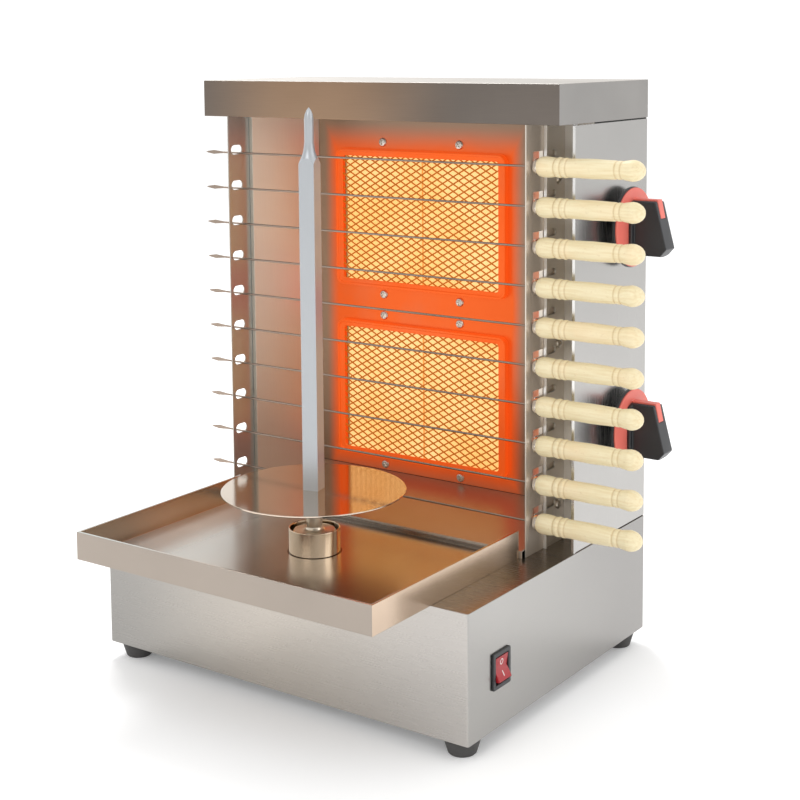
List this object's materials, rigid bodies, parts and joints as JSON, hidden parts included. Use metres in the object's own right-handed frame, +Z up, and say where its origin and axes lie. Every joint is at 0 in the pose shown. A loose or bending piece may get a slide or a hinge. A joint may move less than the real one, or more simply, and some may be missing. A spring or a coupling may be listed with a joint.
{
  "type": "electric skewer grill",
  "caption": "Countertop vertical grill in stainless steel: square spit with disc over a drip pan, slim skewers with turned wood handles, two glowing mesh-guarded burners and two side knobs.",
  "frame": {"origin": "centre of the base's footprint, at the bottom of the feet", "axes": "+X to the appliance's right (its knob side), +Y to its back, +Z up"},
  "size_m": [0.4829, 0.409, 0.539],
  "materials": {
    "brushed_stainless": "brushed",
    "bright_stainless": "bright rolled",
    "plated_steel": "dull",
    "motor_enamel": "satin",
    "polished_stainless": "polished",
    "heat_glowing_steel": "hot, glowing orange",
    "guard_steel": "heat stained",
    "burner_ceramic": "matt",
    "valve_brass": "turned",
    "foot_rubber": "matt",
    "black_plastic": "satin",
    "red_plastic": "satin",
    "switch_red_plastic": "gloss",
    "pale_wood": "smooth, unvarnished"
  },
  "bodies": {
    "grill": {"base_shell": "brushed_stainless", "base_floor": "plated_steel", "rubber_feet": "foot_rubber", "cover_screws": "polished_stainless", "motor_bracket": "plated_steel", "gear_motor": "motor_enamel", "skewer_seat_plate": "bright_stainless", "skewer_tip_plate": "bright_stainless", "right_guard_plate": "brushed_stainless", "right_outer_panel": "brushed_stainless", "left_outer_panel": "brushed_stainless", "side_reflectors": "bright_stainless", "burner_panel": "heat_glowing_steel", "drip_apron": "bright_stainless", "rear_panel": "brushed_stainless", "canopy": "brushed_stainless", "canopy_ceiling": "plated_steel", "upper_gas_box": "plated_steel", "lower_gas_box": "plated_steel", "upper_tiles": "burner_ceramic", "lower_tiles": "burner_ceramic", "upper_guard": "guard_steel", "lower_guard": "guard_steel", "upper_frame": "heat_glowing_steel", "lower_frame": "heat_glowing_steel", "gas_manifold": "plated_steel", "gas_valves": "valve_brass", "cable_gland": "black_plastic", "switch_bezel": "black_plastic"},
    "skewer_01": {"skewer_01": "polished_stainless", "handle_01": "pale_wood"},
    "skewer_02": {"skewer_02": "polished_stainless", "handle_02": "pale_wood"},
    "skewer_03": {"skewer_03": "polished_stainless", "handle_03": "pale_wood"},
    "skewer_04": {"skewer_04": "polished_stainless", "handle_04": "pale_wood"},
    "skewer_05": {"skewer_05": "polished_stainless", "handle_05": "pale_wood"},
    "skewer_06": {"skewer_06": "polished_stainless", "handle_06": "pale_wood"},
    "skewer_07": {"skewer_07": "polished_stainless", "handle_07": "pale_wood"},
    "skewer_08": {"skewer_08": "polished_stainless", "handle_08": "pale_wood"},
    "skewer_09": {"skewer_09": "polished_stainless", "handle_09": "pale_wood"},
    "skewer_10": {"skewer_10": "polished_stainless", "handle_10": "pale_wood"},
    "spit_drive": {"drive_socket": "polished_stainless"},
    "spit": {"spit_rod": "polished_stainless", "spit_disc": "polished_stainless"},
    "drip_pan": {"drip_pan": "brushed_stainless"},
    "upper_knob": {"upper_knob": "black_plastic", "upper_knob_skirt": "red_plastic", "upper_valve_stem": "polished_stainless"},
    "lower_knob": {"lower_knob": "black_plastic", "lower_knob_skirt": "red_plastic", "lower_valve_stem": "polished_stainless"},
    "switch_rocker": {"switch_rocker": "switch_red_plastic"}
  },
  "joints": [
    {"name": "skewer_01_turn", "type": "hinge", "parent": "grill", "child": "skewer_01", "pos_m": [0.1683, 0.0005, 0.4678], "axis": [1, 0, 0], "continuous": true},
    {"name": "skewer_02_turn", "type": "hinge", "parent": "grill", "child": "skewer_02", "pos_m": [0.1683, 0.0005, 0.4329], "axis": [1, 0, 0], "continuous": true},
    {"name": "skewer_03_turn", "type": "hinge", "parent": "grill", "child": "skewer_03", "pos_m": [0.1683, 0.0005, 0.398], "axis": [1, 0, 0], "continuous": true},
    {"name": "skewer_04_turn", "type": "hinge", "parent": "grill", "child": "skewer_04", "pos_m": [0.1683, 0.0005, 0.3631], "axis": [1, 0, 0], "continuous": true},
    {"name": "skewer_05_turn", "type": "hinge", "parent": "grill", "child": "skewer_05", "pos_m": [0.1683, 0.0005, 0.3282], "axis": [1, 0, 0], "continuous": true},
    {"name": "skewer_06_turn", "type": "hinge", "parent": "grill", "child": "skewer_06", "pos_m": [0.1683, 0.0005, 0.2933], "axis": [1, 0, 0], "continuous": true},
    {"name": "skewer_07_turn", "type": "hinge", "parent": "grill", "child": "skewer_07", "pos_m": [0.1683, 0.0005, 0.2584], "axis": [1, 0, 0], "continuous": true},
    {"name": "skewer_08_turn", "type": "hinge", "parent": "grill", "child": "skewer_08", "pos_m": [0.1683, 0.0005, 0.2235], "axis": [1, 0, 0], "continuous": true},
    {"name": "skewer_09_turn", "type": "hinge", "parent": "grill", "child": "skewer_09", "pos_m": [0.1683, 0.0005, 0.1886], "axis": [1, 0, 0], "continuous": true},
    {"name": "skewer_10_turn", "type": "hinge", "parent": "grill", "child": "skewer_10", "pos_m": [0.1683, 0.0005, 0.1537], "axis": [1, 0, 0], "continuous": true},
    {"name": "spit_drive_turn", "type": "hinge", "parent": "grill", "child": "spit_drive", "pos_m": [0.005, -0.1035, 0.125], "axis": [0, 0, 1], "continuous": true},
    {"name": "spit_lift", "type": "slide", "parent": "spit_drive", "child": "spit", "axis": [0, 0, 1], "range_m": [0, 0.04]},
    {"name": "drip_pan_lift", "type": "slide", "parent": "grill", "child": "drip_pan", "axis": [0, 0, 1], "range_m": [0, 0.03]},
    {"name": "upper_knob_turn", "type": "hinge", "parent": "grill", "child": "upper_knob", "pos_m": [0.2, 0.1075, 0.407], "axis": [1, 0, 0], "range_deg": [0, 90]},
    {"name": "lower_knob_turn", "type": "hinge", "parent": "grill", "child": "lower_knob", "pos_m": [0.2, 0.1075, 0.2215], "axis": [1, 0, 0], "range_deg": [0, 90]},
    {"name": "switch_rock", "type": "hinge", "parent": "grill", "child": "switch_rocker", "pos_m": [0.1955, -0.107, 0.0645], "axis": [0, 1, 0], "range_deg": [0, 20]}
  ]
}
